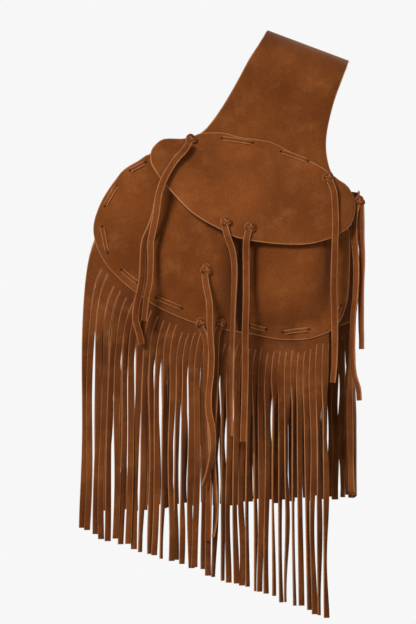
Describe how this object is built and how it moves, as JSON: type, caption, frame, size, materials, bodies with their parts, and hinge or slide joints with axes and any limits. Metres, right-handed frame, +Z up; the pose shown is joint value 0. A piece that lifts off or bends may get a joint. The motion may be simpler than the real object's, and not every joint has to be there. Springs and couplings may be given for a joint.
{
  "type": "shoulder pouch",
  "caption": "Suede pouch worn over one shoulder: one sheet forms the strap and back, with a puffed front panel, a leaf-shaped flap, laced edges, knotted thongs and long fringe.",
  "frame": {"origin": "under the sheet, on top of the shoulder it rests on, in the middle of the ridge", "axes": "+X to the wearer's left, +Y to the wearer's back, +Z up; the pouch hangs in front at -Y"},
  "size_m": [0.298, 0.2235, 0.6185],
  "materials": {
    "suede": "napped suede",
    "fringe_suede": "napped suede",
    "thong_suede": "napped suede"
  },
  "bodies": {
    "root": {"shoulder_sheet": "suede", "pouch_front": "suede", "flap_margin": "suede", "front_fringe": "fringe_suede", "back_fringe": "fringe_suede", "edge_lacing_1": "thong_suede", "edge_lacing_2": "thong_suede", "edge_lacing_3": "thong_suede", "edge_lacing_4": "thong_suede", "edge_lacing_5": "thong_suede", "edge_lacing_6": "thong_suede", "edge_lacing_7": "thong_suede", "edge_lacing_8": "thong_suede", "flap_lacing_1": "thong_suede", "flap_lacing_2": "thong_suede", "back_lacing_1": "thong_suede", "back_lacing_2": "thong_suede", "back_lacing_3": "thong_suede", "back_lacing_4": "thong_suede", "back_lacing_5": "thong_suede", "back_lacing_6": "thong_suede", "back_lacing_7": "thong_suede", "back_lacing_8": "thong_suede", "pouch_knot": "thong_suede", "edge_knot_1": "thong_suede", "edge_knot_2": "thong_suede", "side_knot": "thong_suede", "pouch_thong": "thong_suede", "edge_thong_1": "thong_suede", "edge_thong_2": "thong_suede", "side_thong_1": "thong_suede", "side_thong_2": "thong_suede"},
    "flap": {"flap_leaf": "suede", "flap_left_knot": "thong_suede", "flap_right_knot": "thong_suede", "tie_knot_1": "thong_suede", "tie_knot_2": "thong_suede", "flap_left_long_thong": "thong_suede", "flap_left_short_thong": "thong_suede", "flap_right_thong": "thong_suede", "tie_thong_1": "thong_suede", "tie_thong_2": "thong_suede"}
  },
  "joints": [
    {"name": "flap_hinge", "type": "hinge", "parent": "root", "child": "flap", "pos_m": [-0.05008, -0.08577, -0.11417], "axis": [-0.9633, -0.1032, 0.2478], "range_deg": [0, 130]}
  ]
}
